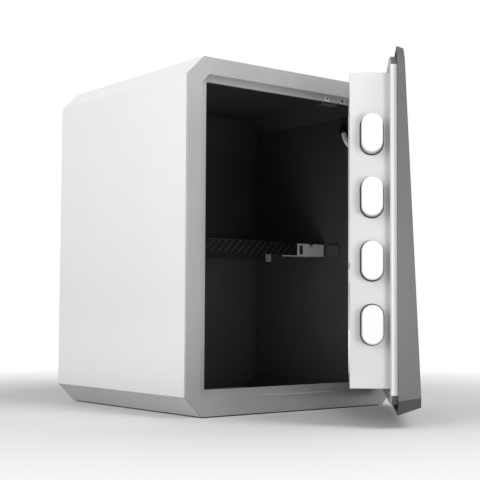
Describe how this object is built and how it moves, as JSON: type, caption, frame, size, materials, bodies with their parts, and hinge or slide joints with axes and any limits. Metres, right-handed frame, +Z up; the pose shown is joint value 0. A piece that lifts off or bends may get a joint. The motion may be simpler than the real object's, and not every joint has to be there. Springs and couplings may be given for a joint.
{
  "type": "in room safe",
  "caption": "Octagonal steel in-room safe with a right-hinged door standing open, side bolts driven by a geared motor, a touch front and one lift-out shelf.",
  "frame": {"origin": "on the floor, at the centre of the cabinet's base pad", "axes": "+Z up, +Y from the door side to the back, +X to the right, towards the hinges"},
  "size_m": [0.36, 0.5784, 0.4515],
  "materials": {
    "white_enamel": "gloss white enamel",
    "silver_frame": "satin silver paint",
    "black_lining": "satin black paint",
    "black_shelf": "satin black paint",
    "carbon_strip": "diagonal weave under clear coat",
    "light_plastic": "satin light grey",
    "dark_glass": "polished dark glass",
    "black_rubber": "matte",
    "grey_felt": "short pile",
    "zinc_steel": "zinc plated",
    "bright_steel": "bright plated",
    "satin_bolt": "satin nickel",
    "light_box": "satin light grey",
    "cover_plastic": "fine texture",
    "dark_plate": "satin dark grey",
    "grey_panel": "satin grey",
    "black_plastic": "fine texture",
    "silver_ring": "turned",
    "lamp_glass": "frosted",
    "green_board": "solder mask",
    "brass": "machined",
    "cell_wrap": "printed sleeve",
    "red_plastic": "smooth",
    "steel_conduit": "wound steel"
  },
  "bodies": {
    "cabinet": {"outer_shell": "white_enamel", "rear_panel": "white_enamel", "rear_grommet": "black_rubber", "front_frame": "silver_frame", "inner_liner": "black_lining", "liner_back": "black_lining", "base_pad": "black_rubber", "floor_mat": "grey_felt", "hinge_frame_leaves": "zinc_steel", "hinge_pins": "bright_steel", "frame_leaf_screws": "bright_steel", "ledge_screw": "bright_steel", "ledge_rivet": "bright_steel", "door_sensor": "black_plastic", "lamp_housing": "black_lining", "lamp_lens": "lamp_glass", "shelf_clips": "light_plastic", "shelf_stops": "black_lining", "conduit_ferrule": "black_plastic", "door_conduit": "steel_conduit"},
    "shelf": {"shelf_tray": "black_shelf", "shelf_fascia": "carbon_strip", "shelf_module": "light_plastic", "shelf_window": "dark_glass", "shelf_mat": "black_rubber"},
    "door": {"door_plate": "dark_plate", "door_edge_trim": "light_box", "door_box": "light_box", "inner_cover": "cover_plastic", "cover_screws": "bright_steel", "front_panel": "grey_panel", "panel_screws": "bright_steel", "touch_glass": "dark_glass", "display_board": "green_board", "fingerprint_ring": "silver_ring", "fingerprint_pad": "black_plastic", "key_housing": "brass", "override_switch": "black_plastic", "bolt_bushes": "black_plastic", "guide_blocks": "black_plastic", "gear_motor": "bright_steel", "motor_bracket": "zinc_steel", "battery_tray": "black_plastic", "battery_cells": "cell_wrap", "conduit_gland": "bright_steel", "hinge_door_leaves": "zinc_steel", "door_leaf_screws": "bright_steel", "cover_pivot": "bright_steel"},
    "bolt_set": {"bolts": "satin_bolt", "bolt_bar": "zinc_steel", "bolt_screws": "bright_steel", "guide_rods": "zinc_steel", "bolt_rack": "zinc_steel"},
    "pinion": {"motor_pinion": "brass"},
    "key": {"key_plug": "brass", "key_cam": "zinc_steel"},
    "keyhole_cover": {"key_cover": "grey_panel"},
    "reset": {"reset_button": "red_plastic"},
    "battery_lid": {"battery_cover": "cover_plastic"}
  },
  "joints": [
    {"name": "door_hinge", "type": "hinge", "parent": "cabinet", "child": "door", "pos_m": [0.1634, -0.1641, 0.2265], "axis": [0, 0, 1], "range_deg": [-47.6, 60], "deforming": ["door_conduit"]},
    {"name": "bolt_throw", "type": "slide", "parent": "door", "child": "bolt_set", "axis": [-0.6743, -0.7385, 0], "range_m": [-0.021, 0]},
    {"name": "pinion_spin", "type": "hinge", "parent": "door", "child": "pinion", "pos_m": [-0.01318, -0.29997, 0.2265], "axis": [0, 0, 1], "range_deg": [0, 114.6]},
    {"name": "key_turn", "type": "hinge", "parent": "door", "child": "key", "pos_m": [0.0043, -0.31742, 0.1215], "axis": [0.7385, -0.6743, 0], "range_deg": [0, 90]},
    {"name": "keyhole_cover_swing", "type": "hinge", "parent": "door", "child": "keyhole_cover", "pos_m": [0.02992, -0.34081, 0.13609], "axis": [0.7377, -0.6736, 0.0446], "range_deg": [0, 110]},
    {"name": "reset_press", "type": "slide", "parent": "door", "child": "reset", "axis": [0.7385, -0.6743, 0], "range_m": [0, 0.0025], "stiffness_N_per_m": 300},
    {"name": "battery_lid_slide", "type": "slide", "parent": "door", "child": "battery_lid", "axis": [0, 0, 1], "range_m": [0, 0.012]},
    {"name": "shelf_lift", "type": "slide", "parent": "cabinet", "child": "shelf", "axis": [0, 0, 1], "range_m": [0, 0.04]}
  ],
  "couplings": [
    {"joint": "pinion_spin", "follows": "bolt_throw", "rad_per_m": -95.238}
  ]
}
